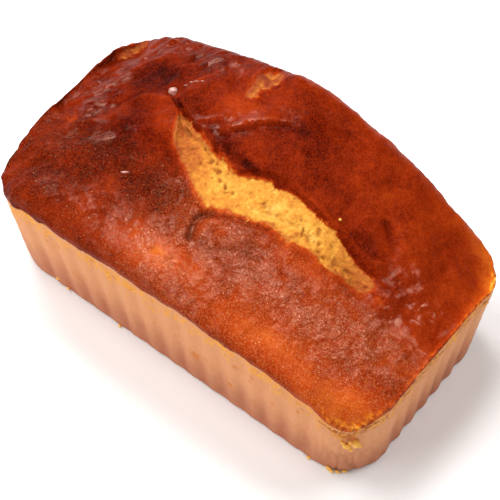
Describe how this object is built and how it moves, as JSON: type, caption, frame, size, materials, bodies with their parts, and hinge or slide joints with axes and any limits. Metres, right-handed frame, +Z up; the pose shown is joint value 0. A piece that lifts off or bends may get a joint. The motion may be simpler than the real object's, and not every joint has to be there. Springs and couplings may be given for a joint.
{
  "type": "pound cake loaf",
  "caption": "Whole baked pound cake loaf with fluted tapering sides, glossy brown domed crust and a long torn split showing yellow crumb",
  "frame": {"origin": "middle of the flat base of the loaf, on the surface it stands on", "axes": "+X runs along the loaf, +Z is up, and the long sides face -Y and +Y; the dome leans out past the side at +Y"},
  "size_m": [0.2056, 0.1163, 0.0953],
  "materials": {
    "crust": "satin"
  },
  "bodies": {
    "root": {"pound_cake_loaf": "crust"}
  },
  "joints": []
}
